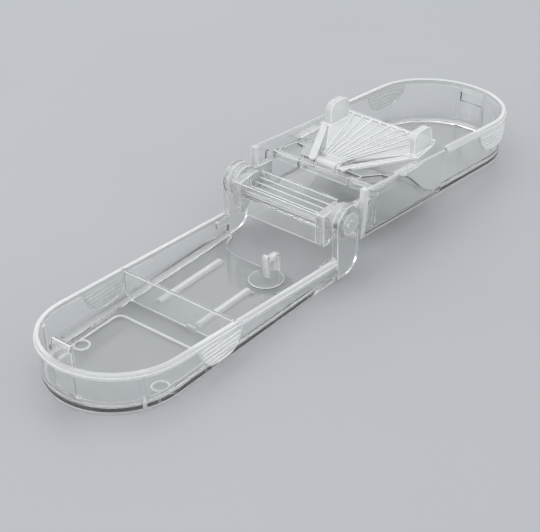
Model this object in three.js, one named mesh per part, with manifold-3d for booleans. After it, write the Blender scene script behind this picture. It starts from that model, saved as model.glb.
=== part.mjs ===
// Folding live catch trap, opened flat: a shallow front tray and a deeper rear tray of clear
// moulded plastic, hinged at their square ends, with a swinging entrance door on the hinge line
// and a fan-shaped one-way flap over a ramp in the rear tray.
// Millimetres, +Z up. The long axis is X, the hinge axis runs along Y.

import * as THREE from 'three';
import { mergeVertices } from 'three/addons/utils/BufferGeometryUtils.js';
import Module from 'manifold-3d';

const wasm = await Module();
wasm.setup();

// ---------------------------------------------------------------- driving dimensions

const WIDTH = 64;                  // over the rim ledges of both trays
const REACH = 138.6;               // hinge axis to the rounded end of the front tray
const HINGE_HEIGHT = 24.6;         // hinge axis above the table
const GAP = 0.3;                   // clearance between neighbouring pieces
const RIM_GAP = 0.4;               // between the two rims when the trap is shut
const BITE = 0.5;                  // how far a moulded-on feature runs into its wall

const WALL = 1.6;
const FLOOR = 1.6;
const LEDGE_OUT = 0.8;             // rim ledge beyond the wall
const LEDGE_DROP = 3.0;            // rim down to the underside of the ledge
const BAND_DROP = 1.5;             // rim down to the top of the ledge
const BAND_IN = 0.4;               // rim band set back from the ledge
const RIM_SOFT = 0.3;              // softened edges of the rim
const DRAFT = 0.8;                 // walls lean in towards the bottom
const EDGE_RADIUS = 1.4;           // outer bottom edge
const ARC_STEPS = 32;              // facets round a tray end

const FRONT_RIM_FAR = 20.8;        // rim height at the rounded end
const FRONT_RIM_NEAR = 10.8;       // rim height at the hinge line
const FRONT_FILLET = 5;            // inside, wall to floor
const FRONT_WALL_END = 9;          // wall ends this far short of the hinge axis
const NOTCH_REACH = 19.5;          // the floor stops this far short of the hinge axis
const NOTCH_SIDE = 3.1;            // floor left beside the notch, inside each wall
const NOTCH_RADIUS = 11;
const LINE_HEIGHT = 0.45;          // raised lines and rings on the floor
const LINE_WIDTH = 0.8;
const PANEL_FROM_DIVIDER = 9.5;    // floor panel beyond the divider
const PANEL_CORNER = 3.9;
const PANEL_SIDE = 0.1;            // panel line inside the foot of the fillet
const RING_RADIUS = 3.6;
const RING_WIDTH = 0.7;
const RAIL_HEIGHT = 1.15;          // long half-round rails on the floor
const RAIL_HALF = 1.7;
const RAIL_SINK = 0.05;            // foot of a rail inside the floor
const LONG_RAIL = { from: 27.5, to: 65, side: -17.3 };
const SHORT_RAIL = { from: 37, to: 68, side: 6.5 };
const WALL_RIB_ANGLE = 62;         // upright ribs inside the rounded end, from the long axis
const WALL_RIB_HALF = 1.1;
const WALL_RIB_OUT = 0.7;
const WALL_RIB_DROP = 1.5;         // rim down to the top of a rib

const REAR_DROP_NEAR = 12;         // hinge axis down to the underside, at the hinge line
const REAR_DROP_FAR = 8;           // the same at the rounded end
const REAR_START = 9.4;            // the rear walls start this far from the axis
const CHAMBER_START = 68;          // tunnel walls step up to the chamber rim here
const TUNNEL_RIM_DROP = 1.5;
const CHAMBER_FILLET = 5;
const TUNNEL_FILLET = 2;
const POST_LENGTH = 2.4;           // thick end of each tunnel wall
const POST_RIB_AT = 18;            // second upright behind it
const POST_RIB_LENGTH = 1.4;
const POST_RIB_DROP = 5.6;         // rim down to the top of the second upright
const POST_SILL = 1.6;             // bar that joins the two uprights, and its height above the floor
const POST_SILL_LIFT = 2.8;

const EAR_RADIUS = 8.4;            // round head of a hinge bracket
const EAR_THICKNESS = 3;
const EAR_FLANK = 5.4;             // rear flank beyond the axis, below the head
const EAR_NECK = 6.4;              // where the flank meets the head, below the axis
const EAR_HEEL = 8.5;              // rounded lower rear corner
const EAR_BASE = 0.8;              // bracket foot above the table
const TOOTH_LENGTH = 8.1;          // block that grips the front wall
const TOOTH_PROUD = 0.6;
const PIN_END = 1;                 // pin stops this far inside the door block
const PIN_RADIUS = 2.2;
const BORE_CLEAR = 0.3;
const CAP_RADIUS = 4.6;
const CAP_THICKNESS = 1.1;
const CAP_SINK = 0.9;              // seat of the cap below the bracket's face
const CAP_KEY_HALF = 2.6;
const CAP_KEY_THICK = 0.6;
const CAP_HUB_RADIUS = 1.7;
const ARM_RADIUS = 7.6;
const ARM_THICKNESS = 3;
const ARM_REACH = 17.4;
const ARM_HALF = 5;

const DOOR_FRONT = 9.2;            // door plate ahead of the axis
const DOOR_DROP = 9.4;             // door plate below the axis
const DOOR_RISE = 5.2;             // and above it
const DOOR_PLATE = 1.4;
const DOOR_BLOCK = 4;              // end block thickness
const DOOR_DRUM = 6.4;             // round back of an end block
const DOOR_HEEL = 3.4;             // flat foot of an end block
const DOOR_SLANT = 2;              // flat top of an end block
const DOOR_HOLLOW = 1;             // foot of the drum ahead of the axis
const DOOR_RIBS = 4;
const DOOR_RIB_PITCH = 3;
const DOOR_RIB_THICK = 0.9;
const DOOR_RIB_AT = 3.5;           // first rib behind the front of the plate
const DOOR_RIB_TOP = 0.6;          // top of the first rib above the axis
const DOOR_RIB_STEP = 0.7;         // each rib stands this much above the last
const CHANNEL_BACK = 6.2;          // channel behind the plate, beyond the axis
const CHANNEL_DEPTH = 4.6;
const CHANNEL_LIP = 1.2;           // channel's front edge above the axis
const CHANNEL_TURN = 0.6;          // axis down to where the channel slopes in
const CHANNEL_FLOOR = { from: -3, to: 2.5 };

const DECK_DROP = 5.4;             // chamber rim down to the deck
const DECK_START = 20.2;
const DECK_FLAT_END = 38;
const RAMP_END = 65;
const DECK_PLATE = 1.3;
const DECK_SIDE = 2.4;             // deck edge to the wall
const DECK_SKIRT = 3.5;            // deck down to the lower edge of its front bar and skirts
const DECK_BAR = 1.3;
const DECK_WINDOW = { from: 1.1, near: 14.1, far: 21.4, length: 12.4, rim: 1.3 };
const ROD_AT = 25;                 // pivot rod of the flap
const ROD_LIFT = 0.4;              // rod axis above the deck
const ROD_RADIUS = 1.1;
const HUB_RADIUS = 2.3;
const HUB_HALF = 4.4;
const CHEEK_THICKNESS = 1.4;       // ears that hold the rod, beside the hub
const RAMP_EASE = { top: 10, foot: 12, rise: 3 };
const FLAP_TILT = 3.1;             // degrees, resting slope of the flap
const FLAP_LIFT = 0.5;             // underside of the flap above the rod axis
const FLAP_PLATE = 1.3;
const FLAP_RIDGE = 44.4;           // rod to the ridge
const FLAP_SIDE = 2.6;             // flap edge to the wall
const RIDGE_SIDE = 2.5;            // ridge shorter than the flap at each end
const RIDGE_THICK = 1.4;
const RIDGE_RISE = 1.6;
const FLAP_RIBS = 9;
const RIB_SIDE = 4.5;              // outermost rib in from the end of the ridge
const RIB_POLE = 13;               // the ribs point this far ahead of the rod
const RIB_START = 18;              // from that point
const RIB_RISE = 1;
const RIB_SINK = 0.9;              // rib foot inside the plate
const RIB_HALF = 0.4;
const TONGUE_WIDTH = 3.6;          // diagonal fingers beside the fan
const TONGUE_TIP = -0.7;
const TONGUE_INSIDE = 6.6;         // inner edge at the tip, from the centre line
const TONGUE_SIDE = 0.65;          // outer edge at the lug, in from the flap edge
const SLOT = 1;                    // between a finger and the fan, at the lug
const SHOULDER_FROM_LUG = 1;       // the fan widens this far before the lug
const LUG_START = 28.5;            // lugs, measured from the rod along the flap
const LUG_LENGTH = 13;
const LUG_HEIGHT = 10.2;
const LUG_THICKNESS = 3.2;
const LUG_SIDE = 2.6;              // lug in from the flap edge
const LUG_ROUND = 4;
const REST_START = 12;
const REST_LENGTH = 15;
const REST_THICKNESS = 0.9;
const REST_UNDER = 2;              // the flap overlaps each rest by this

const DIVIDER_AT = 72;             // divider ahead of the hinge axis
const DIVIDER_THICKNESS = 1.4;
const CATCH_AT = 23.3;
const CATCH_SIDE = -8;
const CATCH_WIDTH = 2.6;
const CATCH_SPAN = 8.2;
const CATCH_TOP = 12.2;
const CATCH_LEG = 1.5;
const CATCH_BAR = 1.6;
const CATCH_KNOB = 1.3;
const CATCH_CORNER = 1;
const BASE_RADIUS = 7.6;
const BASE_THICKNESS = 1;
const BASE_OFFSET = 4;             // middle of the pad beyond the catch

const LATCH_HALF = 5;
const LATCH_THICKNESS = 1.5;
const LATCH_TOP = 29.2;
const LATCH_OFF = 0.3;             // tab stands off the wall by this and the gap
const NIB_OUT = 1.2;
const NIB_DOWN = 1.4;              // top of the tab down to the top of the nib
const NIB_HEIGHT = 2.4;
const NIB_FLAT = { foot: 0.9, top: 0.4 };   // flat of the nib below the nib's top
const GUIDE_CLEAR = 2;             // latch guides beside the tab
const GUIDE_HALF = 0.5;
const WINDOW_DEPTH = 0.8;
const WINDOW_CLEAR = 0.6;

const GRIP_RIBS = 5;
const GRIP_PAD_OUT = 0.35;
const GRIP_RIB_HALF = 0.35;
const GRIP_BORDER = 0.9;           // raised edge round a thumb grip
const GRIP_CURVE = { shoulder: 0.8, belly: 0.4 };
const FRONT_GRIP = { at: 82, half: 13, depth: 11.4 };
const REAR_GRIP = { at: 107, half: 13.5, depth: 10.4 };

// ---------------------------------------------------------------- derived sizes

const HALF = WIDTH / 2;
const WALL_OUT = HALF - LEDGE_OUT;             // outer face of a wall at the rim
const WALL_IN = WALL_OUT - WALL;               // inner face
const BEYOND = 4 * REACH;                      // past everything, for cuts that run through
const DEG = Math.PI / 180;

const rimDrop = HINGE_HEIGHT - FRONT_RIM_NEAR;
const rimSlope = Math.atan2(FRONT_RIM_FAR - FRONT_RIM_NEAR, REACH);
const REAR_RIM = rimDrop * Math.cos(rimSlope) - RIM_GAP;   // rear rim above the axis
const TUNNEL_RIM = REAR_RIM - TUNNEL_RIM_DROP;
const rimReach = Math.hypot(REACH, HINGE_HEIGHT - FRONT_RIM_FAR);
const REAR_REACH = Math.sqrt(rimReach ** 2 - (REAR_RIM + RIM_GAP) ** 2);

const frontRim = (x) => FRONT_RIM_NEAR + (FRONT_RIM_FAR - FRONT_RIM_NEAR) * x / REACH;
const rearBottom = (x) => -REAR_DROP_NEAR + (REAR_DROP_NEAR - REAR_DROP_FAR) * x / REAR_REACH;

// The rear tray leans until its far bottom edge stands on the table.
const restX = REAR_REACH - LEDGE_OUT - DRAFT - EDGE_RADIUS;
const restH = rearBottom(restX);
const REAR_TILT = Math.asin(HINGE_HEIGHT / Math.hypot(restX, restH)) + Math.atan2(restH, restX);

const EAR_IN = WALL_OUT - EAR_THICKNESS;       // inner face of a hinge bracket
const ARM_OUT = EAR_IN - GAP;
const ARM_IN = ARM_OUT - ARM_THICKNESS;
const DOOR_HALF = ARM_IN - GAP;
const CAP_SEAT = WALL_OUT - CAP_SINK;

const DECK_TOP = REAR_RIM - DECK_DROP;         // above the hinge axis, as all rear heights
const DECK_HALF = WALL_IN - DECK_SIDE;
const ROD_HEIGHT = DECK_TOP + ROD_LIFT;
const CHEEK_IN = HUB_HALF + GAP;
const ROD_HALF = CHEEK_IN + CHEEK_THICKNESS;
const FLAP_HALF = WALL_IN - FLAP_SIDE;
const RIDGE_HALF = FLAP_HALF - RIDGE_SIDE;
const PLATE_TOP = FLAP_LIFT + FLAP_PLATE;

// ---------------------------------------------------------------- solids

/** Turns a closed three.js geometry into a manifold solid. */
function solid(geometry) {
  const bare = geometry.index ? geometry.toNonIndexed() : geometry.clone();
  bare.deleteAttribute('normal');
  bare.deleteAttribute('uv');
  const merged = mergeVertices(bare, 1e-4);
  return new wasm.Manifold(new wasm.Mesh({
    numProp: 3,
    vertProperties: new Float32Array(merged.attributes.position.array),
    triVerts: new Uint32Array(merged.index.array),
  }));
}

const join = (first, ...rest) => rest.reduce((sum, piece) => sum.add(piece), first);
const cut = (first, ...rest) => rest.reduce((left, piece) => left.subtract(piece), first);

/** A box between two corners. */
function box(x0, x1, y0, y1, z0, z1) {
  const geometry = new THREE.BoxGeometry(x1 - x0, y1 - y0, z1 - z0);
  return solid(geometry.translate((x0 + x1) / 2, (y0 + y1) / 2, (z0 + z1) / 2));
}

/** A cylinder along Y between two stations. */
function rodY(x, z, radius, y0, y1, sides = 24) {
  const geometry = new THREE.CylinderGeometry(radius, radius, y1 - y0, sides);
  return solid(geometry.translate(x, (y0 + y1) / 2, z));
}

/** A disc standing on a floor. */
function disc(x, y, radius, z0, z1, sides = 28) {
  const geometry = new THREE.CylinderGeometry(radius, radius, z1 - z0, sides).rotateX(Math.PI / 2);
  return solid(geometry.translate(x, y, (z0 + z1) / 2));
}

/** A section in Y and Z, extruded along X. */
function slabX(section, x0, x1) {
  const geometry = new THREE.ExtrudeGeometry(section, { depth: x1 - x0, bevelEnabled: false });
  return solid(geometry.rotateX(Math.PI / 2).rotateZ(Math.PI / 2).translate(x0, 0, 0));
}

/** A side outline in X and Z, extruded from y0 to y1. */
function slabY(shape, y0, y1, curveSegments = 8) {
  const geometry = new THREE.ExtrudeGeometry(shape, { depth: y1 - y0, bevelEnabled: false, curveSegments });
  return solid(geometry.rotateX(Math.PI / 2).translate(0, y1, 0));
}

/** A plan outline in X and Y, extruded from z0 to z1. */
function slabZ(shape, z0, z1, curveSegments = 8) {
  const geometry = new THREE.ExtrudeGeometry(shape, { depth: z1 - z0, bevelEnabled: false, curveSegments });
  return solid(geometry.translate(0, 0, z0));
}

const outline = (points) => new THREE.Shape(points.map(([a, b]) => new THREE.Vector2(a, b)));

/** Points on an arc, angles in degrees. */
function arc(cx, cy, radius, from, to, steps) {
  return Array.from({ length: steps + 1 }, (_, i) => {
    const angle = (from + (to - from) * i / steps) * DEG;
    return [cx + radius * Math.cos(angle), cy + radius * Math.sin(angle)];
  });
}

/** Turns a solid made in the +X direction to point along -X. */
const toFront = (piece) => piece.rotate([0, 0, 180]);

/** The same piece on the other side of the centre line. */
const mirrored = (piece) => piece.mirror([0, 1, 0]);

/**
 * A stadium-ended tray built from stacked outlines.
 * Each ring is an inset from the widest outline and a height along X.
 */
function tray(rings, reach) {
  const centre = reach - HALF;
  const back = -HALF / 2;
  const positions = [];
  const loops = rings.map(([inset, height]) => {
    const points = [[back, inset - HALF], ...arc(centre, 0, HALF - inset, -90, 90, ARC_STEPS),
      [back, HALF - inset]];
    return points.map(([x, y]) => [x, y, height(x)]);
  });
  const triangle = (...corners) => corners.forEach((corner) => positions.push(...corner));
  const count = loops[0].length;
  for (let k = 0; k + 1 < loops.length; k += 1) {
    for (let i = 0; i < count; i += 1) {
      const j = (i + 1) % count;
      const [a, b, c, d] = [loops[k][i], loops[k][j], loops[k + 1][j], loops[k + 1][i]];
      triangle(a, b, c);
      triangle(a, c, d);
    }
  }
  const underside = loops[0];
  const inside = loops[loops.length - 1];
  for (let i = 1; i + 1 < count; i += 1) {
    triangle(underside[0], underside[i + 1], underside[i]);
    triangle(inside[0], inside[i], inside[i + 1]);
  }
  const geometry = new THREE.BufferGeometry();
  geometry.setAttribute('position', new THREE.Float32BufferAttribute(positions, 3));
  return solid(geometry);
}

/** Rings up the outside, over the rim, down the inside and round the fillet. */
function trayRings({ bottom, rim, fillet, ledge }) {
  const foot = LEDGE_OUT + DRAFT;
  const up = (lift) => (x) => bottom(x) + lift;
  const below = (drop) => (x) => rim(x) - drop;
  const outer = arc(foot + EDGE_RADIUS, EDGE_RADIUS, EDGE_RADIUS, 270, 180, 3)
    .map(([inset, lift]) => [inset, up(lift)]);
  const soft = RIM_SOFT;
  const band = ledge ? BAND_IN : LEDGE_OUT;
  const lip = ledge
    ? [[LEDGE_OUT, below(LEDGE_DROP)], [soft, below(LEDGE_DROP)], [0, below(LEDGE_DROP - soft)],
      [0, below(BAND_DROP)], [BAND_IN, below(BAND_DROP)]]
    : [];
  const inner = HALF - WALL_IN;
  const top = [[band, below(soft)], [band + soft, below(0)], [inner - soft, below(0)], [inner, below(soft)]];
  const round = arc(inner + fillet, FLOOR + fillet, fillet, 180, 270, 5);
  return [...outer, ...lip, ...top, ...round.map(([inset, lift]) => [inset, up(lift)])];
}

/** Stadium-ended outline of a tray at one distance from its centre line. */
const stadium = (radius, reach) => outline([[-HALF, -radius],
  ...arc(reach - HALF, 0, radius, -90, 90, ARC_STEPS), [-HALF, radius]]);

/** D shape in X and Z with its flat side up. */
function gripOutline(at, half, top, depth) {
  const low = top - depth;
  const shoulder = half * GRIP_CURVE.shoulder;
  const belly = half * GRIP_CURVE.belly;
  const edge = new THREE.Shape();
  edge.moveTo(at - half, top);
  edge.bezierCurveTo(at - shoulder, low, at - belly, low, at, low);
  edge.bezierCurveTo(at + belly, low, at + shoulder, low, at + half, top);
  return edge;
}

/** Thumb grip: a D-shaped pad with a raised edge and level ribs, on the outside of a wall. */
function thumbGrip({ at, half, depth }, rim, reach) {
  const top = rim - LEDGE_DROP + BAND_DROP;
  const low = top - depth;
  const skin = (out) => cut(slabZ(stadium(WALL_OUT + out, reach), low - 1, rim),
    slabZ(stadium(WALL_OUT - WALL / 2, reach), low - 2, rim + 1));
  const whole = slabY(gripOutline(at, half, top, depth), -HALF, 0);
  const inner = slabY(gripOutline(at, half - GRIP_BORDER, top, depth - GRIP_BORDER), -WIDTH, HALF);
  const pitch = depth / (GRIP_RIBS + 1);
  const ribs = Array.from({ length: GRIP_RIBS }, (_, i) => {
    const level = top - (i + 1) * pitch;
    return box(at - half, at + half, -HALF, 0, level - GRIP_RIB_HALF, level + GRIP_RIB_HALF);
  });
  const raised = join(cut(whole, inner), join(...ribs).intersect(whole));
  return join(whole.intersect(skin(GRIP_PAD_OUT)), raised.intersect(skin(LEDGE_OUT)));
}

// ---------------------------------------------------------------- front tray

/** Raised line round the flat floor panel in the rounded end. */
function panelLine() {
  const radius = WALL_IN - FRONT_FILLET - PANEL_SIDE;
  const near = DIVIDER_AT + PANEL_FROM_DIVIDER;
  const path = (inset) => {
    const side = radius - inset;
    const corner = PANEL_CORNER - inset;
    const x = near + PANEL_CORNER;
    return [...arc(REACH - HALF, 0, side, -90, 90, ARC_STEPS), ...arc(x, side - corner, corner, 90, 180, 5),
      ...arc(x, corner - side, corner, 180, 270, 5)];
  };
  const shape = outline(path(0));
  shape.holes.push(outline(path(LINE_WIDTH).reverse()));
  return slabZ(shape, FLOOR - GAP, FLOOR + LINE_HEIGHT);
}

/** Long half-round rail along the floor. */
function floorRail({ from, to, side }) {
  const foot = FLOOR - RAIL_SINK;
  const round = arc(0, 0, 1, 0, 180, 8).map(([a, b]) => [side + a * RAIL_HALF, foot + b * RAIL_HEIGHT]);
  return slabX(outline(round), from, to);
}

/** Round witness ring on the floor. */
function floorRing(x, y) {
  return cut(disc(x, y, RING_RADIUS, FLOOR - GAP, FLOOR + LINE_HEIGHT),
    disc(x, y, RING_RADIUS - RING_WIDTH, 0, FLOOR + 1));
}

/** Upright rib inside the rounded end, at an angle from the long axis. */
function wallRib(angle) {
  const top = frontRim(REACH - HALF) - WALL_RIB_DROP;
  const rib = box(WALL_IN - WALL_RIB_OUT, WALL_IN + BITE, -WALL_RIB_HALF, WALL_RIB_HALF, FLOOR, top);
  return rib.rotate([0, 0, angle]).translate([REACH - HALF, 0, 0]);
}

/** Open end of the front floor, with rounded corners. */
function floorNotch() {
  const half = WALL_IN - NOTCH_SIDE;
  const r = NOTCH_RADIUS;
  const corner = half - r;
  return slabZ(outline([[0, -half], ...arc(NOTCH_REACH - r, -corner, r, -90, 0, 6),
    ...arc(NOTCH_REACH - r, corner, r, 0, 90, 6), [0, half]]), -1, BEYOND);
}

function makeFrontTray() {
  const flat = () => 0;
  const rings = trayRings({ bottom: flat, rim: frontRim, fillet: FRONT_FILLET, ledge: true });
  const mouth = box(-BEYOND, FRONT_WALL_END, -BEYOND, BEYOND, -BEYOND, BEYOND);
  const seat = DIVIDER_THICKNESS / 2 + GAP;
  const side = WALL_IN + WALL / 2;
  const groove = box(DIVIDER_AT - seat, DIVIDER_AT + seat, -side, side, FLOOR + FRONT_FILLET, BEYOND);
  const grip = thumbGrip(FRONT_GRIP, frontRim(FRONT_GRIP.at), REACH);
  const ringSide = WALL_IN - FRONT_FILLET - RING_RADIUS;
  const marks = [-ringSide, ringSide].map((y) => floorRing(REACH - HALF, y));
  const extras = [panelLine(), floorRail(LONG_RAIL), floorRail(SHORT_RAIL), ...marks, grip, mirrored(grip),
    wallRib(WALL_RIB_ANGLE), wallRib(-WALL_RIB_ANGLE)];
  return toFront(cut(join(tray(rings, REACH), ...extras), mouth, floorNotch(), groove));
}

/** Plate across the front tray, shaped to the tray's inside with a clearance all round. */
function makeDivider() {
  const half = WALL_IN - GAP;
  const foot = FLOOR + GAP;
  const top = frontRim(DIVIDER_AT) - GAP;
  const r = FRONT_FILLET;
  const section = outline([[half, top], ...arc(half - r, foot + r, r, 0, -90, 6),
    ...arc(r - half, foot + r, r, 270, 180, 6), [-half, top]]);
  const plate = slabX(section, DIVIDER_AT - DIVIDER_THICKNESS / 2, DIVIDER_AT + DIVIDER_THICKNESS / 2);
  const [a, b] = [SHORT_RAIL.side - RAIL_HALF - BITE, SHORT_RAIL.side + RAIL_HALF + BITE];
  return toFront(cut(plate, box(0, REACH, a, b, 0, FLOOR + RAIL_HEIGHT + BITE)));
}

/** Round pad on the floor under the trigger catch. */
function makeCatchBase() {
  const foot = FLOOR + GAP;
  const pad = disc(CATCH_AT + BASE_OFFSET, -CATCH_SIDE, BASE_RADIUS, foot, foot + BASE_THICKNESS);
  const [a, b] = [SHORT_RAIL.side - RAIL_HALF - GAP, SHORT_RAIL.side + RAIL_HALF + GAP];
  return toFront(cut(pad, box(SHORT_RAIL.from - GAP, SHORT_RAIL.to, a, b, 0, BEYOND)));
}

/** Arch that holds the flap, with a knob on its outer corner. */
function makeCatch() {
  const foot = FLOOR + BASE_THICKNESS + 2 * GAP;
  const [a, b] = [CATCH_AT - CATCH_SPAN / 2, CATCH_AT + CATCH_SPAN / 2];
  const under = CATCH_TOP - CATCH_BAR;
  const shape = outline([[a, foot], [a + CATCH_LEG, foot], [a + CATCH_LEG, under], [b - CATCH_LEG, under],
    [b - CATCH_LEG, foot], [b, foot],
    ...arc(b - CATCH_KNOB / 2, CATCH_TOP + CATCH_KNOB / 3, CATCH_KNOB, -20, 200, 7),
    [b - 2 * CATCH_KNOB, CATCH_TOP], [a + CATCH_CORNER, CATCH_TOP], [a, CATCH_TOP - CATCH_CORNER]]);
  return toFront(slabY(shape, -CATCH_SIDE - CATCH_WIDTH / 2, -CATCH_SIDE + CATCH_WIDTH / 2));
}

/** Spring tab at the rounded end; its foot follows the wall-to-floor fillet. */
function makeLatchTab() {
  const sag = WALL_IN - Math.sqrt(WALL_IN ** 2 - LATCH_HALF ** 2);
  const face = REACH - HALF + WALL_IN - GAP - sag - LATCH_OFF;
  const cx = REACH - HALF + WALL_IN - FRONT_FILLET;
  const cz = FLOOR + FRONT_FILLET;
  const r = face - cx;
  const nibTop = LATCH_TOP - NIB_DOWN;
  const back = face - LATCH_THICKNESS;
  const nib = face + NIB_OUT;
  const shape = outline([...arc(cx, cz, r, 270, 360, 5), [face, nibTop - NIB_HEIGHT],
    [nib, nibTop - NIB_FLAT.foot], [nib, nibTop - NIB_FLAT.top], [face, LATCH_TOP], [back, LATCH_TOP],
    ...arc(cx, cz, r - LATCH_THICKNESS, 360, 270, 5)]);
  return toFront(slabY(shape, -LATCH_HALF, LATCH_HALF));
}

// ---------------------------------------------------------------- hinge

/** Hinge bracket on the left wall: a plate with a round head, and a tooth that grips the wall. */
function makeBracket() {
  const left = -EAR_RADIUS;
  const heel = arc(EAR_FLANK - EAR_HEEL, EAR_BASE + EAR_HEEL, EAR_HEEL, 270, 360, 6);
  const shape = outline([[left, EAR_BASE], ...heel, [EAR_FLANK, HINGE_HEIGHT - EAR_NECK],
    ...arc(0, HINGE_HEIGHT, EAR_RADIUS, -50, 180, 20)]);
  const plate = slabY(shape, EAR_IN, WALL_OUT);
  const toothTop = frontRim(FRONT_WALL_END) - GAP;
  const toothFoot = FLOOR + FRONT_FILLET + GAP;
  const tooth = box(left - TOOTH_LENGTH, left + BITE, EAR_IN - TOOTH_PROUD, WALL_IN - GAP,
    toothFoot, toothTop);
  const recess = rodY(0, HINGE_HEIGHT, CAP_RADIUS + GAP, CAP_SEAT, WALL_OUT + 1);
  const bore = rodY(0, HINGE_HEIGHT, PIN_RADIUS + BORE_CLEAR, 0, HALF);
  return cut(join(plate, tooth), recess, bore);
}

/** Pivot pin through bracket, hinge arm and door block. */
function makePin() {
  return rodY(0, HINGE_HEIGHT, PIN_RADIUS, DOOR_HALF - DOOR_BLOCK + PIN_END, CAP_SEAT - GAP, 20);
}

/** Cap over the pin with a raised key. */
function makeCap() {
  const z = HINGE_HEIGHT;
  const plate = rodY(0, z, CAP_RADIUS, CAP_SEAT + GAP, CAP_SEAT + CAP_THICKNESS, 28);
  const key = box(-CAP_KEY_HALF, CAP_KEY_HALF, WALL_OUT, HALF, z - CAP_KEY_THICK, z + CAP_KEY_THICK);
  return join(plate, key, rodY(0, z, CAP_HUB_RADIUS, WALL_OUT, HALF, 20));
}

// ---------------------------------------------------------------- door on the hinge line

/** Door plate with a ribbed channel behind its top edge. */
function makeDoorPanel() {
  const z = HINGE_HEIGHT;
  const half = DOOR_HALF - DOOR_BLOCK - GAP;
  const front = -DOOR_FRONT;
  const back = CHANNEL_BACK;
  const plate = box(front, front + DOOR_PLATE, -half, half, z - DOOR_DROP, z + DOOR_RISE);
  const low = z - CHANNEL_DEPTH;
  const web = DOOR_PLATE;
  const turn = z - CHANNEL_TURN;
  const { from, to } = CHANNEL_FLOOR;
  const channel = outline([[front + BITE, z + CHANNEL_LIP], [front + BITE, turn], [from, low], [to, low],
    [back, turn], [back, z + DOOR_RISE], [back - web, z + DOOR_RISE], [back - web, z],
    [to - BITE, low + web], [from + BITE, low + web]]);
  const ribs = Array.from({ length: DOOR_RIBS }, (_, i) => {
    const x = front + DOOR_RIB_AT + i * DOOR_RIB_PITCH;
    return box(x, x + DOOR_RIB_THICK, -half, half, low + web / 2, z + DOOR_RIB_TOP + i * DOOR_RIB_STEP);
  });
  return join(plate, slabY(channel, -half, half), ...ribs);
}

/** End block of the door, bored for the pin. */
function makeDoorBlock() {
  const z = HINGE_HEIGHT;
  const front = -DOOR_FRONT;
  const foot = z - DOOR_DROP;
  const top = z + DOOR_RISE;
  const shape = outline([[front, foot], [front + DOOR_HEEL, foot], [-DOOR_HOLLOW, z - DOOR_DRUM],
    ...arc(0, z, DOOR_DRUM, -90, 70, 10), [front + DOOR_SLANT, top], [front, top]]);
  const block = slabY(shape, DOOR_HALF - DOOR_BLOCK, DOOR_HALF);
  return cut(block, rodY(0, z, PIN_RADIUS + BORE_CLEAR, 0, HALF));
}

// ---------------------------------------------------------------- rear tray, in its own frame
// Local frame: X from the hinge axis to the rounded end, Z above the axis.

/** Uprights and sill that frame the open end of the left tunnel wall. */
function mouthFrame() {
  const floorAt = rearBottom(REAR_START) + FLOOR;
  const end = POST_RIB_AT + POST_RIB_LENGTH;
  const low = floorAt - FLOOR / 2;
  const sill = floorAt + POST_SILL_LIFT;
  const upright = (x0, x1, z0, z1) => box(x0, x1, EAR_IN, WALL_IN + BITE, z0, z1);
  return join(upright(REAR_START, REAR_START + POST_LENGTH, low, TUNNEL_RIM),
    upright(POST_RIB_AT, end, low, REAR_RIM - POST_RIB_DROP),
    upright(REAR_START, end, sill, sill + POST_SILL));
}

/** Two upright guides inside the rounded end and the recess that takes the latch nib. */
function latchGuides() {
  const inner = REAR_REACH - HALF + WALL_IN;
  const half = LATCH_HALF + GUIDE_CLEAR;
  const foot = rearBottom(inner) + FLOOR + GUIDE_CLEAR;
  const guides = [-half, half].map((y) => box(inner - LATCH_THICKNESS, inner + WALL / 4,
    y - GUIDE_HALF, y + GUIDE_HALF, foot, REAR_RIM - GUIDE_CLEAR));
  const nibAbove = LATCH_TOP - NIB_DOWN - NIB_HEIGHT - FRONT_RIM_FAR;
  const top = REAR_RIM - nibAbove + WINDOW_CLEAR;
  const recess = box(inner - 2 * LATCH_THICKNESS, inner + WINDOW_DEPTH, 1 - half, half - 1,
    top - 2 * NIB_HEIGHT, top);
  return { guides, recess };
}

function makeRearTray() {
  const rim = () => REAR_RIM;
  const tunnelRim = () => TUNNEL_RIM;
  const chamberRings = trayRings({ bottom: rearBottom, rim, fillet: CHAMBER_FILLET, ledge: true });
  const tunnelRings = trayRings({ bottom: rearBottom, rim: tunnelRim, fillet: TUNNEL_FILLET, ledge: false });
  const between = (x0, x1) => box(x0, x1, -BEYOND, BEYOND, -BEYOND, BEYOND);
  const chamber = cut(tray(chamberRings, REAR_REACH), between(-BEYOND, CHAMBER_START));
  const tunnel = tray(tunnelRings, REAR_REACH).intersect(between(REAR_START, CHAMBER_START + BITE));
  const frame = mouthFrame();
  const { guides, recess } = latchGuides();
  const grip = thumbGrip(REAR_GRIP, REAR_RIM, REAR_REACH);
  const shell = join(chamber, tunnel, frame, mirrored(frame), ...guides, grip, mirrored(grip));
  return cut(shell, recess);
}

/** Hinge arm on the left, with its round head on the pin. */
function makeArm() {
  const head = arc(0, 0, ARM_RADIUS, 40, 320, 22);
  const shape = outline([...head, [ARM_REACH, -ARM_HALF], [ARM_REACH, ARM_HALF]]);
  return cut(slabY(shape, ARM_IN, ARM_OUT), rodY(0, 0, PIN_RADIUS + BORE_CLEAR, 0, HALF));
}

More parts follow.
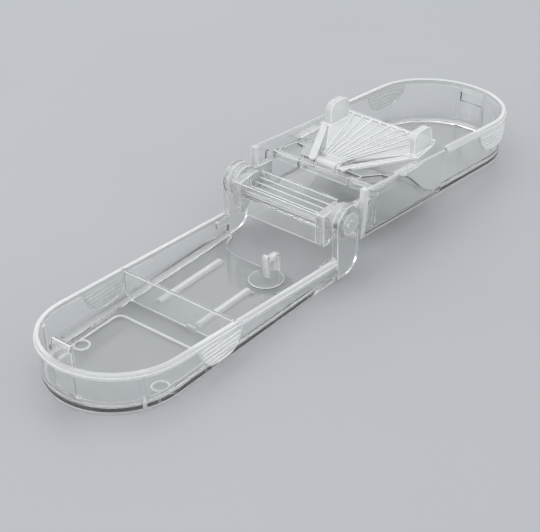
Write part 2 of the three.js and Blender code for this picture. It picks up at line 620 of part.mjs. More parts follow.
/** Deck with a front bar, skirts, side windows, ears for the rod and a ramp to the chamber floor. */
function makeDeck() {
  const rampFoot = rearBottom(RAMP_END) + FLOOR + GAP + DECK_PLATE;
  const curve = new THREE.CubicBezierCurve(new THREE.Vector2(DECK_FLAT_END, DECK_TOP),
    new THREE.Vector2(DECK_FLAT_END + RAMP_EASE.top, DECK_TOP),
    new THREE.Vector2(RAMP_END - RAMP_EASE.foot, rampFoot + RAMP_EASE.rise),
    new THREE.Vector2(RAMP_END, rampFoot));
  const top = curve.getPoints(12).map((point) => [point.x, point.y]);
  const side = (depth) => {
    const floorLine = (x) => rearBottom(x) + FLOOR + GAP;
    const under = top.map(([x, h]) => [x, Math.max(h - depth, floorLine(x))]).reverse();
    return outline([...under, [DECK_START, DECK_TOP - depth], [DECK_START, DECK_TOP], ...top]);
  };
  const plate = slabY(side(DECK_PLATE), -DECK_HALF, DECK_HALF);
  const skirt = slabY(side(DECK_SKIRT), DECK_HALF - DECK_BAR, DECK_HALF);
  const bar = box(DECK_START, DECK_START + DECK_BAR, -DECK_HALF, DECK_HALF, DECK_TOP - DECK_SKIRT, DECK_TOP);
  const { from, near, far, length, rim } = DECK_WINDOW;
  const x = DECK_START + DECK_BAR + from;
  const edge = DECK_HALF - DECK_BAR;
  const corners = [[x, near], [x + length - 1, far], [x + length, edge - GAP], [x, edge - GAP]];
  const opening = slabZ(outline(corners), DECK_TOP - DECK_PLATE - 1, DECK_TOP + 1);
  const frame = slabZ(outline([[x - rim, near - rim], [x, near - rim], [x + length, far - rim],
    [x + length - 1, far], [x, near], [x - rim, near]]), DECK_TOP - DECK_SKIRT, DECK_TOP);
  const cheekFoot = DECK_TOP - DECK_PLATE / 2;
  const cheek = slabY(outline([[ROD_AT - HUB_RADIUS, cheekFoot], [ROD_AT + HUB_RADIUS, cheekFoot],
    ...arc(ROD_AT, ROD_HEIGHT, HUB_RADIUS, 0, 180, 8)]), CHEEK_IN, ROD_HALF);
  const hubRoom = HUB_RADIUS + BORE_CLEAR;
  const hubWay = box(ROD_AT - hubRoom, ROD_AT + hubRoom, -CHEEK_IN, CHEEK_IN,
    DECK_TOP - 2 * DECK_PLATE, BEYOND);
  const bore = rodY(ROD_AT, ROD_HEIGHT, ROD_RADIUS + BORE_CLEAR, -HALF, HALF, 16);
  const whole = join(cut(plate, opening, mirrored(opening)), bar, skirt, mirrored(skirt),
    frame, mirrored(frame), cheek, mirrored(cheek));
  return cut(whole, hubWay, bore);
}

function makeRod() {
  return rodY(ROD_AT, ROD_HEIGHT, ROD_RADIUS, -ROD_HALF, ROD_HALF, 16);
}

// ---------------------------------------------------------------- fan flap, in the plane of its plate
// Flap frame: X from the pivot rod to the ridge, Z square to the plate.

/** Places a piece of the flap in the rear tray's frame. */
const fromFlap = (piece) => piece.rotate([0, -FLAP_TILT, 0]).translate([ROD_AT, 0, ROD_HEIGHT]);

/** Diagonal finger beside the fan, with a rounded free end by the hub. */
function flapTongue() {
  const root = LUG_START;
  const inside = FLAP_HALF - TONGUE_WIDTH - TONGUE_SIDE;
  const tip = TONGUE_INSIDE + TONGUE_WIDTH / 2;
  return slabZ(outline([...arc(TONGUE_TIP, tip, TONGUE_WIDTH / 2, 90, 270, 6), [root, inside],
    [root, inside + TONGUE_WIDTH]]), FLAP_LIFT, PLATE_TOP);
}

/** Rib that fans out from the hub to the ridge. */
function fanRib(i) {
  const middle = (FLAP_RIBS - 1) / 2;
  const y = (RIDGE_HALF - RIB_SIDE) * (i - middle) / middle;
  const angle = Math.atan2(y, FLAP_RIDGE + RIB_POLE) / DEG;
  const length = Math.hypot(y, FLAP_RIDGE + RIB_POLE);
  return box(RIB_START, length, -RIB_HALF, RIB_HALF, PLATE_TOP - RIB_SINK, PLATE_TOP + RIB_RISE)
    .rotate([0, 0, angle]).translate([-RIB_POLE, 0, 0]);
}

function makeFlap() {
  const throat = HUB_RADIUS + GAP;
  const shoulder = FLAP_HALF - TONGUE_SIDE - TONGUE_WIDTH - SLOT;
  const wide = LUG_START - SHOULDER_FROM_LUG;
  const fan = outline([[0, -HUB_HALF], [throat, -HUB_HALF], [wide, -shoulder], [wide, -FLAP_HALF],
    [FLAP_RIDGE, -RIDGE_HALF], [FLAP_RIDGE, RIDGE_HALF], [wide, FLAP_HALF], [wide, shoulder],
    [throat, HUB_HALF], [0, HUB_HALF]]);
  const plate = slabZ(fan, FLAP_LIFT, PLATE_TOP);
  const tongue = flapTongue();
  const ribs = Array.from({ length: FLAP_RIBS }, (_, i) => fanRib(i));
  const ridge = box(FLAP_RIDGE - RIDGE_THICK, FLAP_RIDGE, -RIDGE_HALF, RIDGE_HALF,
    FLAP_LIFT, PLATE_TOP + RIDGE_RISE);
  const lugEnd = LUG_START + LUG_LENGTH;
  const lugTop = PLATE_TOP + LUG_HEIGHT;
  const r = LUG_ROUND;
  const lugSide = outline([[LUG_START, FLAP_LIFT], [lugEnd, FLAP_LIFT], [lugEnd, lugTop - r],
    ...arc(lugEnd - r, lugTop - r, r, 0, 90, 4), ...arc(LUG_START + r, lugTop - r, r, 90, 180, 4)]);
  const lug = slabY(lugSide, FLAP_HALF - LUG_SIDE - LUG_THICKNESS, FLAP_HALF - LUG_SIDE);
  const hub = rodY(0, 0, HUB_RADIUS, -HUB_HALF, HUB_HALF);
  const bore = rodY(0, 0, ROD_RADIUS + BORE_CLEAR, -HALF, HALF, 16);
  const whole = join(plate, tongue, mirrored(tongue), ...ribs, ridge, lug, mirrored(lug), hub);
  return fromFlap(cut(whole, bore));
}

/** Ledge on the left tunnel wall that the flap rests on. */
function makeRest() {
  const top = FLAP_LIFT - GAP;
  const end = REST_START + REST_LENGTH;
  const rest = outline([[REST_START, top], [REST_START + REST_THICKNESS, top - REST_THICKNESS],
    [end, top - REST_THICKNESS], [end, top]]);
  return fromFlap(slabY(rest, FLAP_HALF - REST_UNDER, WALL_IN - GAP));
}

// ---------------------------------------------------------------- assembly

/** Clear moulded plastic with the given tint. */
const clear = (color, roughness) => new THREE.MeshStandardMaterial({ color, roughness, metalness: 0 });

/** Puts a solid in a named mesh. */
function part(name, piece, colour = 0xe8ecee, roughness = 0.12) {
  const mesh = piece.getMesh();
  const geometry = new THREE.BufferGeometry();
  geometry.setAttribute('position', new THREE.Float32BufferAttribute(mesh.vertProperties, 3));
  geometry.setIndex(new THREE.Uint32BufferAttribute(mesh.triVerts, 1));
  const node = new THREE.Mesh(geometry, clear(colour, roughness));
  node.name = name;
  return node;
}

/** A piece made on the left side and its mirror image on the right. */
const pair = (name, piece, ...finish) => [part(`left_${name}`, piece, ...finish),
  part(`right_${name}`, mirrored(piece), ...finish)];

const frontPieces = [
  part('front_tray', makeFrontTray()),
  part('divider_wall', makeDivider(), 0xdfe4e6),
  part('catch_base', makeCatchBase(), 0xe2e6e8, 0.3),
  part('trigger_catch', makeCatch(), 0xeef1f2),
  part('latch_tab', makeLatchTab(), 0xe2e6e8),
  ...pair('hinge_bracket', makeBracket()),
  ...pair('pivot_pin', makePin(), 0xf2f4f5),
  ...pair('pin_cap', makeCap(), 0xf0f2f3),
];

const doorPieces = [
  part('door_panel', makeDoorPanel()),
  ...pair('door_block', makeDoorBlock(), 0xe2e6e8, 0.25),
];

const rearPieces = [
  part('rear_tray', makeRearTray()),
  ...pair('hinge_arm', makeArm(), 0xe2e6e8),
  part('deck_ramp', makeDeck()),
  part('flap_rod', makeRod(), 0xf2f4f5),
  ...pair('flap_rest', makeRest(), 0xf2f4f5, 0.3),
  part('fan_flap', makeFlap(), 0xeef1f2, 0.2),
];

const rear = new THREE.Group();
rear.rotation.y = REAR_TILT;
rear.position.z = HINGE_HEIGHT;
rear.add(...rearPieces);

const trap = new THREE.Group();
trap.add(...frontPieces, ...doorPieces, rear);
trap.updateMatrixWorld(true);

// The origin sits under the middle of the open trap, on the table.
const bounds = new THREE.Box3().setFromObject(trap, true);
trap.position.x = -(bounds.min.x + bounds.max.x) / 2;
trap.position.z = -bounds.min.z;
trap.updateMatrixWorld(true);

export default trap;
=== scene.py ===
"""Looks for a folding clear plastic live catch trap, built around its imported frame."""

from __future__ import annotations

import logging
import math
from collections.abc import Callable, Mapping, Sequence
from dataclasses import dataclass, field
from enum import Enum

import bmesh
import bpy
from mathutils import Matrix, Vector


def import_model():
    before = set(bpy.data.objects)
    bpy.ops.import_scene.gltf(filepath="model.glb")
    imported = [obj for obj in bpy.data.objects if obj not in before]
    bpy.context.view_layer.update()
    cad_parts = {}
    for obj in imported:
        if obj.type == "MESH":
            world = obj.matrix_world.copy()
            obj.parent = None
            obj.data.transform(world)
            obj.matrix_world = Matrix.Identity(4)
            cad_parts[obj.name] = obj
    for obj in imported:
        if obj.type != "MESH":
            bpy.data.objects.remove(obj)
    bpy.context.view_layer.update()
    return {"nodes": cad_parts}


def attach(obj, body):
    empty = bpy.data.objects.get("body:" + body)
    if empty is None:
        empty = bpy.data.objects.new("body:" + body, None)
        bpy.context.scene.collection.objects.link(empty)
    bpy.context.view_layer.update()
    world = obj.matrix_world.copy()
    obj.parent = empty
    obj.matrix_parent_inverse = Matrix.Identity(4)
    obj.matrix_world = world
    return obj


LOG = logging.getLogger("trap")
MM = 0.001

Colour = tuple[float, float, float]
Direction = tuple[float, float, float]


class Body(Enum):
    """The bodies that extra pieces ride on."""

    FRONT = "front"


class Side(Enum):
    """The two sides of the trap, as its paired nodes name them."""

    LEFT = "left"
    RIGHT = "right"


# ---------------------------------------------------------------- shader building


class Reading:
    """A number that varies over a surface, held as a shader socket with arithmetic on it."""

    def __init__(self, tree: ShaderTree, socket: bpy.types.NodeSocket) -> None:
        """Wraps one output socket of a tree."""
        self.tree = tree
        self.socket = socket

    def _maths(self, operation: str, *operands: Reading | float) -> Reading:
        """Adds a Math node.

        Args:
            operation: the Math node's operation.
            operands: readings or numbers, in socket order.

        Returns:
            The node's result.
        """
        node = self.tree.node("ShaderNodeMath", {"operation": operation}, dict(enumerate(operands)))
        return Reading(self.tree, node.outputs[0])

    def __add__(self, other: Reading | float) -> Reading:
        """This plus other."""
        return self._maths("ADD", self, other)

    __radd__ = __add__

    def __sub__(self, other: Reading | float) -> Reading:
        """This minus other."""
        return self._maths("SUBTRACT", self, other)

    def __rsub__(self, other: float) -> Reading:
        """Other minus this."""
        return self._maths("SUBTRACT", other, self)

    def __mul__(self, other: Reading | float) -> Reading:
        """This times other."""
        return self._maths("MULTIPLY", self, other)

    __rmul__ = __mul__

    def at_least(self, floor: float) -> Reading:
        """This, or the floor where this is lower."""
        return self._maths("MAXIMUM", self, floor)

    def at_most(self, ceiling: float) -> Reading:
        """This, or the ceiling where this is higher."""
        return self._maths("MINIMUM", self, ceiling)

    def size(self) -> Reading:
        """This without its sign."""
        return self._maths("ABSOLUTE", self)

    def root(self) -> Reading:
        """The square root of this."""
        return self._maths("SQRT", self)

    def above(self, low: float, high: float) -> Reading:
        """0 below low and 1 above high, with a smooth step between."""
        ranged = self.tree.node("ShaderNodeMapRange", {"interpolation_type": "SMOOTHSTEP"},
                                {"Value": self, "From Min": low, "From Max": high})
        return Reading(self.tree, ranged.outputs["Result"])


class ShaderTree:
    """A material's node tree."""

    def __init__(self, name: str) -> None:
        """Starts an empty material of that name."""
        self.material = bpy.data.materials.new(name)
        self.material.use_nodes = True
        self.nodes = self.material.node_tree.nodes
        self.links = self.material.node_tree.links
        self.nodes.clear()

    def node(self, kind: str, settings: Mapping[str, object] | None = None,
             sockets: Mapping[str | int, object] | None = None) -> bpy.types.Node:
        """Adds a node.

        Args:
            kind: the node's type.
            settings: properties of the node, set before its sockets.
            sockets: a value, a Reading or an output socket for each input, by name or number.

        Returns:
            The new node.
        """
        node = self.nodes.new(kind)
        for key, value in (settings or {}).items():
            setattr(node, key, value)
        for key, value in (sockets or {}).items():
            source = value.socket if isinstance(value, Reading) else value
            if isinstance(source, bpy.types.NodeSocket):
                self.links.new(source, node.inputs[key])
            else:
                node.inputs[key].default_value = source
        return node

    def place(self) -> bpy.types.NodeSocket:
        """Where a point lies on its piece, in metres."""
        return self.node("ShaderNodeTexCoord").outputs["Object"]

    def reach(self, origin: Direction, direction: Direction) -> Reading:
        """How far a point lies from an origin along a direction, in metres."""
        offset = self.node("ShaderNodeVectorMath", {"operation": "SUBTRACT"},
                           {0: self.place(), 1: origin})
        dot = self.node("ShaderNodeVectorMath", {"operation": "DOT_PRODUCT"},
                        {0: offset.outputs["Vector"], 1: direction})
        return Reading(self, dot.outputs["Value"])

    def noise(self, scale: float, detail: float = 2.0, roughness: float = 0.5,
              stretch: Colour = (1.0, 1.0, 1.0)) -> Reading:
        """Soft noise from 0 to 1.

        Args:
            scale: features in a metre.
            detail: number of finer layers.
            roughness: how strong the finer layers are.
            stretch: scale along each axis, below 1 for streaks.

        Returns:
            The noise.
        """
        placed = self.node("ShaderNodeMapping", None, {"Vector": self.place(), "Scale": stretch})
        noise = self.node("ShaderNodeTexNoise", {"noise_dimensions": "3D"},
                          {"Vector": placed.outputs[0], "Scale": scale, "Detail": detail,
                           "Roughness": roughness})
        return Reading(self, noise.outputs["Fac"])

    def blend(self, share: Reading, low: Colour, high: Colour) -> bpy.types.NodeSocket:
        """Mixes two colours by a reading."""
        mix = self.node("ShaderNodeMix", {"data_type": "RGBA"},
                        {"Factor": share, "A": (*low, 1.0), "B": (*high, 1.0)})
        return mix.outputs["Result"]

    def bump(self, height: Reading, depth: float) -> bpy.types.NodeSocket:
        """A surface normal from a height in the range 0 to 1, depth metres deep."""
        bump = self.node("ShaderNodeBump", None,
                         {"Height": height, "Distance": depth, "Strength": 1.0})
        return bump.outputs["Normal"]

    def finish(self, surface: bpy.types.NodeSocket) -> bpy.types.Material:
        """Connects the surface and returns the material."""
        self.node("ShaderNodeOutputMaterial", None, {"Surface": surface})
        return self.material


# ---------------------------------------------------------------- finishes


@dataclass(frozen=True)
class TrayLie:
    """How one tray lies, and where whiter plastic is painted on its surface as a highlight of its bright
    edges and lines.

    Heights are above the hinge axis, square to the tray's own long direction. A slope is a rise along
    that direction. upright is where a wall rib stands: past the bend, and to each side.
    """

    along: Direction
    up: Direction
    bend: float
    rim: float
    rim_slope: float
    foot: float
    foot_slope: float
    step_at: float = 0.0
    step_drop: float = 0.0
    hinge: Direction = (0.11 * MM, 0.0, 24.6 * MM)
    ledge_side: float = 31.3 * MM
    foot_side: float = 28.3 * MM
    foot_height: float = 1.9 * MM
    rim_depth: float = 0.3 * MM
    mouth: float = 0.0
    floor_top: float = 1.7 * MM
    line_top: float = 3.4 * MM
    line_side: float = 24.4 * MM
    upright: tuple[float, float] | None = None
    upright_half: float = 1.4 * MM
    blur: float = 0.2 * MM

    def painted_highlight(self, tree: ShaderTree) -> Reading:
        """Where whiter plastic is painted on as a highlight: 1 on the rim, ledge, thumb grips, foot,
        mouth, uprights and floor lines, and 0 elsewhere.

        Args:
            tree: the material's tree.

        Returns:
            The share of painted highlight.
        """
        along = tree.reach(self.hinge, self.along)
        height = tree.reach(self.hinge, self.up)
        across = tree.reach(self.hinge, (0.0, 1.0, 0.0))
        past = (along - self.bend).at_least(0.0)
        side = (past * past + across * across).root()
        near = 1.0 - along.above(self.step_at - self.blur, self.step_at + self.blur)
        over_rim = height - (self.rim_slope * along + self.rim - self.step_drop * near)
        over_foot = height - (self.foot_slope * along + self.foot)
        rim = over_rim.above(-self.rim_depth - self.blur, -self.rim_depth)
        ledge = side.above(self.ledge_side, self.ledge_side + self.blur)
        # The foot band paints a white highlight line just above where the tray meets the floor.
        low = 1.0 - over_foot.above(self.foot_height, self.foot_height + self.blur)
        foot = low * side.above(self.foot_side, self.foot_side + self.blur)
        mouth = 1.0 - along.above(self.mouth, self.mouth + self.blur)
        raised = over_foot.above(self.floor_top, self.floor_top + self.blur)
        lines = raised * (1.0 - over_foot.above(self.line_top, self.line_top + self.blur))
        inside = 1.0 - side.above(self.line_side, self.line_side + self.blur)
        # Each band is a painted highlight: whiter plastic where the edges and lines should look bright.
        total = rim + ledge + foot + mouth + lines * inside
        if self.upright:
            forward = past - self.upright[0]
            sideways = across.size() - self.upright[1]
            off = (forward * forward + sideways * sideways).root()
            total = total + (1.0 - off.above(self.upright_half, self.upright_half + self.blur))
        return total.at_most(1.0)


REAR_TILT = math.radians(7.05)
FRONT_LIE = TrayLie(along=(-1.0, 0.0, 0.0), up=(0.0, 0.0, 1.0), bend=106.6 * MM, rim=-13.8 * MM,
                    rim_slope=10.0 / 138.6, foot=-24.6 * MM, foot_slope=0.0,
                    upright=(13.7 * MM, 25.8 * MM))
REAR_LIE = TrayLie(along=(math.cos(REAR_TILT), 0.0, -math.sin(REAR_TILT)),
                   up=(math.sin(REAR_TILT), 0.0, math.cos(REAR_TILT)), bend=105.97 * MM, rim=13.36 * MM,
                   rim_slope=0.0, foot=-12.0 * MM, foot_slope=4.0 / 137.97, step_at=68.0 * MM,
                   step_drop=1.5 * MM, mouth=11.9 * MM)


@dataclass(frozen=True)
class ClearPlastic:
    """Clear moulded plastic that lets light through, with moulding ripples and fine haze."""

    name: str
    tint: Colour = (0.985, 0.992, 0.992)
    shade: Colour = (0.955, 0.968, 0.972)
    roughness: float = 0.035
    haze: float = 0.06
    ripple: float = 0.03 * MM
    ripples_per_metre: float = 90.0
    transmission: float = 0.97
    shadow_pass: float = 0.8
    cloud_share: float = 0.35
    scuff_share: float = 0.65
    scuff_depth: float = 0.03
    # The next three settings make the whiter, less clear plastic that the mask below paints on as a
    # highlight.
    highlight_roughness: float = 0.26
    highlight_haze: float = 0.2
    highlight_transmission: float = 0.45
    painted_highlight: Callable[[ShaderTree], Reading] | None = None

    def material(self) -> bpy.types.Material:
        """Builds the material."""
        tree = ShaderTree(self.name)
        surface = self._plastic(tree, self.roughness, self.haze, self.transmission)
        # Whiter, less clear plastic mixed in by the mask, a painted highlight of the bright edges and
        # lines.
        if self.painted_highlight:
            white = self._plastic(tree, self.highlight_roughness, self.highlight_haze, self.highlight_transmission)
            joined = tree.node("ShaderNodeMixShader", None,
                               {0: self.painted_highlight(tree), 1: surface, 2: white})
            surface = joined.outputs[0]
        path = tree.node("ShaderNodeLightPath")
        for_lamps = Reading(tree, path.outputs["Is Shadow Ray"]) * self.shadow_pass
        open_air = tree.node("ShaderNodeBsdfTransparent", None, {"Color": (*self.tint, 1.0)})
        mixed = tree.node("ShaderNodeMixShader", None,
                          {0: for_lamps, 1: surface, 2: open_air.outputs[0]})
        return tree.finish(mixed.outputs[0])

    def _plastic(self, tree: ShaderTree, roughness: float, haze: float,
                 transmission: float) -> bpy.types.NodeSocket:
        """Adds one plastic surface.

        Args:
            tree: the material's tree.
            roughness: the lowest roughness.
            haze: how much roughness the clouds and scuffs add.
            transmission: the share of light that passes in.

        Returns:
            The surface.
        """
        flow = tree.noise(self.ripples_per_metre, 1.5)
        scuff = tree.noise(900.0, 3.0, 0.6, (1.0, 0.12, 0.3)).above(0.55, 0.8)
        cloud = tree.noise(160.0, 3.0)
        plastic = tree.node("ShaderNodeBsdfPrincipled", None, {
            "Base Color": tree.blend(cloud, self.tint, self.shade),
            "Roughness": roughness + haze * (self.cloud_share * cloud + self.scuff_share * scuff),
            "IOR": 1.49,
            "Transmission Weight": transmission,
            "Normal": tree.bump(flow + self.scuff_depth * scuff, self.ripple),
        })
        return plastic.outputs[0]


@dataclass(frozen=True)
class StageFloor:
    """Plain pale floor with the faintest mottling."""

    name: str = "stage_floor"
    pale: Colour = (0.46, 0.47, 0.485)
    deep: Colour = (0.43, 0.44, 0.455)

    def material(self) -> bpy.types.Material:
        """Builds the material."""
        tree = ShaderTree(self.name)
        mottle = tree.noise(6.0, 4.0)
        surface = tree.node("ShaderNodeBsdfPrincipled", None, {
            "Base Color": tree.blend(mottle, self.pale, self.deep),
            "Roughness": 0.3 + 0.12 * mottle,
            "Specular IOR Level": 0.35,
        })
        return tree.finish(surface.outputs[0])


@dataclass
class FinishRack:
    """Every finish of the trap, each made once."""

    front: bpy.types.Material = field(init=False)
    rear: bpy.types.Material = field(init=False)
    clear: bpy.types.Material = field(init=False)
    moving: bpy.types.Material = field(init=False)
    fan: bpy.types.Material = field(init=False)
    pin: bpy.types.Material = field(init=False)
    frosted: bpy.types.Material = field(init=False)
    # The edge finish is whiter plastic painted on the rounded edges as a highlight.
    edge: bpy.types.Material = field(init=False)

    def __post_init__(self) -> None:
        """Makes the materials."""
        # Both trays get whiter plastic painted on their rims, ledges, foot, mouth, ribs and floor lines
        # as a highlight.
        self.front = ClearPlastic("front_tray_plastic", painted_highlight=FRONT_LIE.painted_highlight).material()
        self.rear = ClearPlastic("rear_tray_plastic", painted_highlight=REAR_LIE.painted_highlight).material()
        self.clear = ClearPlastic("clear_tray_plastic", roughness=0.05, transmission=0.92).material()
        self.moving = ClearPlastic("clear_moving_plastic", roughness=0.06, haze=0.12,
                                   ripples_per_metre=140.0, transmission=0.88).material()
        self.fan = ClearPlastic("hazy_fan_plastic", roughness=0.14, haze=0.16, ripples_per_metre=140.0,
                                transmission=0.62).material()
        self.pin = ClearPlastic("clear_pin_plastic", roughness=0.08, haze=0.12,
                                transmission=0.72).material()
        self.frosted = ClearPlastic("frosted_plastic", tint=(0.97, 0.98, 0.98), roughness=0.24,
                                    haze=0.2, transmission=0.7, shadow_pass=0.5).material()
        # Whiter, less clear plastic painted on the rounded edges as a highlight.
        self.edge = ClearPlastic("painted_edge_highlight_plastic", tint=(0.99, 0.995, 0.995), roughness=0.22,
                                 haze=0.2, transmission=0.22, shadow_pass=0.6).material()


# ---------------------------------------------------------------- pieces


@dataclass
class Dresser:
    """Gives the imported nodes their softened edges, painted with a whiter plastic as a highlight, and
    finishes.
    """

    nodes: Mapping[str, bpy.types.Object]
    rack: FinishRack
    edge_width: float = 0.28 * MM
    edge_segments: int = 2
    edge_angle: float = math.radians(50)
    flat_angle: float = math.radians(0.5)
    weld_distance: float = 0.002 * MM
    normal_weight: int = 80

    def dress(self, name: str, finish: bpy.types.Material, edge_width: float | None = None) -> None:
        """Finishes one node.

        Args:
            name: the node.
            finish: the material of its faces.
            edge_width: width of its rounded edges, or None for the usual one after its flat faces
                are joined.
        """
        node = self.nodes[name]
        node.data.materials.clear()
        node.data.materials.append(finish)
        # Second slot: the whiter plastic painted on the rounded edges as a highlight.
        node.data.materials.append(self.rack.edge)
        node.data.polygons.foreach_set("use_smooth", [True] * len(node.data.polygons))
        weld = node.modifiers.new("weld", "WELD")
        weld.merge_threshold = self.weld_distance
        if edge_width is None:
            flats = node.modifiers.new("flats", "DECIMATE")
            flats.decimate_type = "DISSOLVE"
            flats.angle_limit = self.flat_angle
        rounded = node.modifiers.new("rounded_edges", "BEVEL")
        rounded.width = edge_width or self.edge_width
        rounded.segments = self.edge_segments
        rounded.limit_method = "ANGLE"
        rounded.angle_limit = self.edge_angle
        rounded.use_clamp_overlap = False
        # The rounded edges take the second slot, the painted edge highlight.
        rounded.material = 1
        normals = node.modifiers.new("normals", "WEIGHTED_NORMAL")
        normals.weight = self.normal_weight
        LOG.info("dressed %s", name)

    def dress_all(self, finishes: Mapping[str, bpy.types.Material]) -> None:
        """Finishes several nodes."""
        for name, finish in finishes.items():
            self.dress(name, finish)

    def dress_pair(self, kind: str, finish: bpy.types.Material, edge_width: float | None = None) -> None:
        """Finishes the left and right nodes of one kind, as dress does."""
        for side in Side:
            self.dress(f"{side.value}_{kind}", finish, edge_width)


@dataclass
class FrontShell:
    """The shallow front tray with its divider, trigger catch and hinge brackets."""

    dresser: Dresser
    tray_edge: float = 0.16 * MM
    cap_edge: float = 0.12 * MM

    def build(self) -> None:
        """Dresses the front body's nodes."""
        rack = self.dresser.rack
        self.dresser.dress("front_tray", rack.front, self.tray_edge)
        self.dresser.dress_all({"divider_wall": rack.moving, "catch_base": rack.clear,
                                "trigger_catch": rack.fan, "latch_tab": rack.moving})
        self.dresser.dress_pair("hinge_bracket", rack.clear)
        self.dresser.dress_pair("pivot_pin", rack.pin)
        self.dresser.dress_pair("pin_cap", rack.pin, self.cap_edge)


@dataclass
class EjectorMarks:
    """Small domed marks that the mould leaves beside the catch pad.

    The profile is radius and height in millimetres, from the crown down to the floor.
    """

    finish: bpy.types.Material
    places: Sequence[tuple[float, float]] = ((-37.6 * MM, -9.6 * MM), (-31.2 * MM, -16.9 * MM))
    floor: float = 1.6 * MM
    profile: Sequence[tuple[float, float]] = (
        (0.0, 0.42), (0.35, 0.38), (0.6, 0.22), (0.68, 0.08), (0.95, 0.05), (1.0, 0.0), (0.0, 0.0))
    sides: int = 24

    def build(self) -> None:
        """Makes the marks and lets them ride on the front tray."""
        for number, (x, y) in enumerate(self.places):
            name = f"ejector_mark_{number + 1}"
            mark = bpy.data.objects.new(name, self._mesh(name))
            mark.location = (x, y, self.floor)
            bpy.context.scene.collection.objects.link(mark)
            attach(mark, Body.FRONT.value)
            LOG.info("made %s", name)

    def _mesh(self, name: str) -> bpy.types.Mesh:
        """Turns the profile about its own upright axis.

        Args:
            name: the mesh's name.

        Returns:
            A closed mesh.
        """
        maker = bmesh.new()
        crown = maker.verts.new((0.0, 0.0, self.profile[0][1] * MM))
        base = maker.verts.new((0.0, 0.0, 0.0))
        rings = []
        turns = [2 * math.pi * k / self.sides for k in range(self.sides)]
        for radius, height in self.profile[1:-1]:
            points = (Vector((radius * math.cos(t), radius * math.sin(t), height)) for t in turns)
            rings.append([maker.verts.new(point * MM) for point in points])
        for k in range(self.sides):
            following = (k + 1) % self.sides
            maker.faces.new((crown, rings[0][k], rings[0][following]))
            maker.faces.new((base, rings[-1][following], rings[-1][k]))
            for upper, lower in zip(rings, rings[1:]):
                maker.faces.new((upper[k], lower[k], lower[following], upper[following]))
        mesh = bpy.data.meshes.new(name)
        maker.to_mesh(mesh)
        maker.free()
        mesh.materials.append(self.finish)
        mesh.polygons.foreach_set("use_smooth", [True] * len(mesh.polygons))
        return mesh


@dataclass
class EntranceDoor:
    """The swinging door on the hinge line."""

    dresser: Dresser

    def build(self) -> None:
        """Dresses the door body's nodes."""
        rack = self.dresser.rack
        self.dresser.dress("door_panel", rack.moving)
        self.dresser.dress_pair("door_block", rack.frosted)


@dataclass
class RearShell:
    """The deep rear tray with its deck, rod, rests and hinge arms."""

    dresser: Dresser
    tray_edge: float = 0.09 * MM
    deck_edge: float = 0.2 * MM

    def build(self) -> None:
        """Dresses the rear body's nodes."""
        rack = self.dresser.rack
        self.dresser.dress("rear_tray", rack.rear, self.tray_edge)
        self.dresser.dress("deck_ramp", rack.clear, self.deck_edge)
        self.dresser.dress("flap_rod", rack.pin)
        self.dresser.dress_pair("hinge_arm", rack.frosted)
        self.dresser.dress_pair("flap_rest", rack.frosted)


@dataclass
class FanFlap:
    """The fan-shaped one-way flap."""

    dresser: Dresser

    def build(self) -> None:
        """Dresses the flap."""
        self.dresser.dress("fan_flap", self.dresser.rack.fan)


# ---------------------------------------------------------------- studio


@dataclass(frozen=True)
class Softbox:
    """A soft rectangular lamp aimed at the trap."""

    name: str
    place: tuple[float, float, float]
    width: float
    height: float
    watts: float

    def hang(self, target: Vector) -> None:
        """Makes the lamp, facing the target."""
        lamp = bpy.data.lights.new(self.name, "AREA")
        lamp.shape = "RECTANGLE"
        lamp.size = self.width
        lamp.size_y = self.height
        lamp.energy = self.watts
        holder = bpy.data.objects.new(self.name, lamp)
        holder.location = self.place
        holder.rotation_euler = (target - Vector(self.place)).to_track_quat("-Z", "Y").to_euler()
        bpy.context.scene.collection.objects.link(holder)


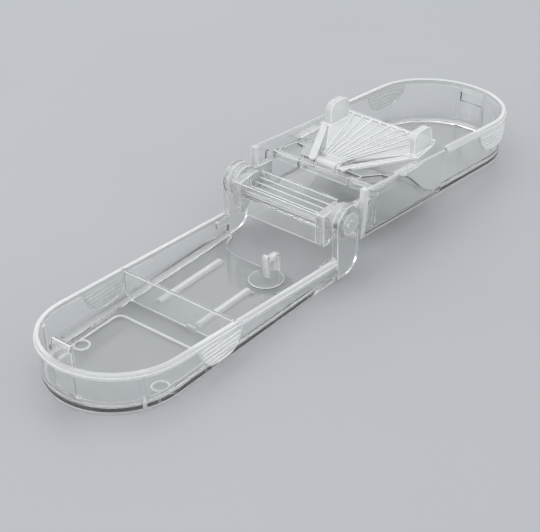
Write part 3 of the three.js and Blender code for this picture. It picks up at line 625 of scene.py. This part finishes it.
@dataclass
class Studio:
    """Plain pale floor, soft lamps and the camera."""

    target: Vector = field(default_factory=lambda: Vector((-38.8, -20.4, 20.0)) * MM)
    azimuth: float = -139.22
    elevation: float = 33.4
    distance: float = 0.6833
    roll: float = -2.02
    lens: float = 113.4
    floor_half: float = 4.0
    floor_drop: float = 0.02 * MM
    sensor: float = 36.0
    clip_start: float = 0.01
    backdrop: Colour = (0.96, 0.98, 1.0)
    backdrop_strength: float = 0.9
    bounces: int = 24
    lamps_face: Direction = (0.0, 0.0, 0.02)
    lamps: Sequence[Softbox] = (
        Softbox("overhead_softbox", (0.15, 0.25, 0.75), 0.7, 0.45, 1.5),
        Softbox("side_softbox", (-0.7, 0.35, 0.35), 0.35, 0.5, 0.9),
        Softbox("front_fill", (0.1, -0.9, 0.5), 0.6, 0.5, 0.5),
    )

    def build(self) -> None:
        """Makes the floor, the light and the camera."""
        self._floor()
        self._light()
        self._camera()

    def _floor(self) -> None:
        """Lays the floor under the trap."""
        mesh = bpy.data.meshes.new("studio_floor")
        maker = bmesh.new()
        bmesh.ops.create_grid(maker, x_segments=2, y_segments=2, size=self.floor_half)
        maker.to_mesh(mesh)
        maker.free()
        mesh.materials.append(StageFloor().material())
        floor = bpy.data.objects.new("studio_floor", mesh)
        floor.location.z = -self.floor_drop
        bpy.context.scene.collection.objects.link(floor)

    def _light(self) -> None:
        """Hangs the lamps and sets an even pale surround."""
        for lamp in self.lamps:
            lamp.hang(Vector(self.lamps_face))
        world = bpy.data.worlds.new("studio_surround")
        world.use_nodes = True
        surround = world.node_tree.nodes["Background"]
        surround.inputs["Color"].default_value = (*self.backdrop, 1.0)
        surround.inputs["Strength"].default_value = self.backdrop_strength
        bpy.context.scene.world = world
        cycles = bpy.context.scene.cycles
        cycles.max_bounces = self.bounces
        cycles.transmission_bounces = self.bounces
        cycles.transparent_max_bounces = self.bounces
        bpy.context.scene.view_settings.view_transform = "Standard"

    def _camera(self) -> None:
        """Places the camera."""
        lens = bpy.data.cameras.new("camera")
        lens.lens = self.lens
        lens.sensor_width = self.sensor
        lens.clip_start = self.clip_start
        around, up = math.radians(self.azimuth), math.radians(self.elevation)
        level = math.cos(up)
        towards = Vector((level * math.cos(around), level * math.sin(around), math.sin(up)))
        camera = bpy.data.objects.new("camera", lens)
        facing = (-towards).to_track_quat("-Z", "Y").to_matrix().to_4x4()
        turned = facing @ Matrix.Rotation(math.radians(self.roll), 4, "Z")
        camera.matrix_world = Matrix.Translation(self.target + towards * self.distance) @ turned
        bpy.context.scene.collection.objects.link(camera)
        bpy.context.scene.camera = camera


def main() -> None:
    """Builds the looks of the whole trap."""
    logging.basicConfig(level=logging.INFO, format="%(message)s")
    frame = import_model()
    Studio().build()
    dresser = Dresser(frame["nodes"], FinishRack())
    assemblies = (FrontShell(dresser), EjectorMarks(dresser.rack.frosted), EntranceDoor(dresser),
                  RearShell(dresser), FanFlap(dresser))
    for assembly in assemblies:
        assembly.build()
        LOG.info("built %s", type(assembly).__name__)


if __name__ == "__main__":
    main()
